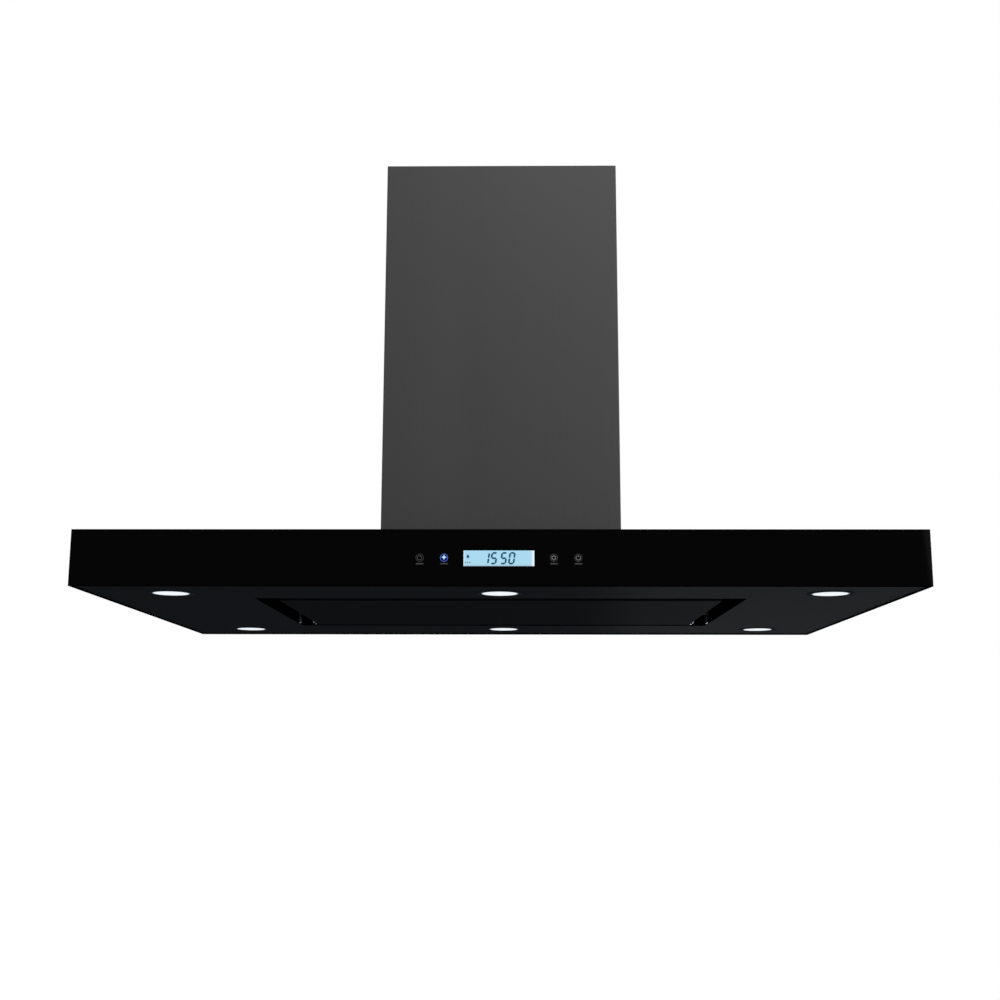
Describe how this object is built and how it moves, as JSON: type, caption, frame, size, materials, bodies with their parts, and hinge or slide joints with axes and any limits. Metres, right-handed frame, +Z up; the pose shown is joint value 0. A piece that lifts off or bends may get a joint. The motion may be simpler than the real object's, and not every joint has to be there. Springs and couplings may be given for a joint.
{
  "type": "island range hood",
  "caption": "Island cooker hood: flat black canopy with glass front, lamps, clock and touch keys, hinged perimeter suction panel, filters and blower, under a telescopic ceiling chimney.",
  "frame": {"origin": "middle of the ceiling plate's upper face, between its four anchor holes, with the chimney closed up", "axes": "+Z up to the ceiling, +X along the canopy's width, -Y to the front with the glass and the controls"},
  "size_m": [0.9, 0.6, 0.538],
  "materials": {
    "galvanised_steel": "galvanised, dull",
    "chimney_steel": "dark brushed steel, satin",
    "zinc_fasteners": "zinc plated",
    "canopy_paint": "black, satin",
    "panel_paint": "black, satin",
    "front_glass": "black backed glass, high gloss",
    "display_window": "clear window over a lit pale blue display",
    "black_plastic": "moulded, matt",
    "circuit_board": "green solder mask",
    "blower_plastic": "moulded, grey",
    "motor_casting": "bare casting",
    "blackened_steel": "blackened",
    "lamp_bezel": "black, satin",
    "lamp_lens": "frosted white diffuser, lit",
    "filter_aluminium": "bare, folded",
    "filter_mesh": "expanded mesh"
  },
  "bodies": {
    "ceiling_frame": {"ceiling_plate": "galvanised_steel", "upper_uprights": "galvanised_steel", "upper_cover_front": "chimney_steel", "upper_cover_rear": "chimney_steel", "ceiling_screws": "zinc_fasteners"},
    "perimeter_panel": {"perimeter_panel": "panel_paint", "panel_strikers": "zinc_fasteners", "panel_pin_left": "zinc_fasteners", "panel_pin_right": "zinc_fasteners"},
    "filter_latch_left": {"filter_latch_left": "black_plastic"},
    "filter_latch_right": {"filter_latch_right": "black_plastic"},
    "impeller": {"impeller": "blower_plastic", "motor_shaft": "zinc_fasteners"},
    "damper_flap_left": {"damper_flap_left": "black_plastic"},
    "damper_flap_right": {"damper_flap_right": "black_plastic"},
    "canopy": {"lower_uprights": "galvanised_steel", "blower_box": "galvanised_steel", "motor_bracket": "galvanised_steel", "damper_rod": "galvanised_steel", "lower_cover_front": "chimney_steel", "lower_cover_rear": "chimney_steel", "canopy_screws": "zinc_fasteners", "clamp_bolts": "zinc_fasteners", "canopy_shell": "canopy_paint", "underside_panel": "canopy_paint", "front_glass": "front_glass", "display_window": "display_window", "lcd_module": "black_plastic", "touch_pads": "black_plastic", "control_carrier": "black_plastic", "control_box": "black_plastic", "control_box_lid": "black_plastic", "mains_gland": "black_plastic", "duct_collar": "black_plastic", "touch_board": "circuit_board", "power_board": "circuit_board", "volute_front": "blower_plastic", "volute_rear": "blower_plastic", "motor": "motor_casting", "catch_left": "blackened_steel", "catch_right": "blackened_steel", "hinge_bracket_left": "blackened_steel", "hinge_bracket_right": "blackened_steel", "lamp_housing_front_left": "lamp_bezel", "lamp_housing_front_middle": "lamp_bezel", "lamp_housing_front_right": "lamp_bezel", "lamp_housing_rear_left": "lamp_bezel", "lamp_housing_rear_middle": "lamp_bezel", "lamp_housing_rear_right": "lamp_bezel", "lamp_lens_front_left": "lamp_lens", "lamp_lens_front_middle": "lamp_lens", "lamp_lens_front_right": "lamp_lens", "lamp_lens_rear_left": "lamp_lens", "lamp_lens_rear_middle": "lamp_lens", "lamp_lens_rear_right": "lamp_lens", "filter_frame_left": "filter_aluminium", "filter_frame_right": "filter_aluminium", "filter_mesh_left": "filter_mesh", "filter_mesh_right": "filter_mesh"}
  },
  "joints": [
    {"name": "height_adjust", "type": "slide", "parent": "ceiling_frame", "child": "canopy", "axis": [0, 0, -1], "range_m": [0, 0.3]},
    {"name": "panel_swing", "type": "hinge", "parent": "canopy", "child": "perimeter_panel", "pos_m": [0, 0.1415, -0.531], "axis": [1, 0, 0], "range_deg": [0, 85]},
    {"name": "impeller_spin", "type": "hinge", "parent": "canopy", "child": "impeller", "pos_m": [-0.0385, 0, -0.3785], "axis": [0, 1, 0], "continuous": true},
    {"name": "damper_left_swing", "type": "hinge", "parent": "canopy", "child": "damper_flap_left", "pos_m": [0.0295, 0, -0.233], "axis": [0, 1, 0], "range_deg": [0, 75]},
    {"name": "damper_right_swing", "type": "hinge", "parent": "canopy", "child": "damper_flap_right", "pos_m": [0.0295, 0, -0.233], "axis": [0, -1, 0], "range_deg": [0, 75]},
    {"name": "latch_left_slide", "type": "slide", "parent": "canopy", "child": "filter_latch_left", "axis": [0, 1, 0], "range_m": [0, 0.008], "stiffness_N_per_m": 400},
    {"name": "latch_right_slide", "type": "slide", "parent": "canopy", "child": "filter_latch_right", "axis": [0, 1, 0], "range_m": [0, 0.008], "stiffness_N_per_m": 400}
  ]
}
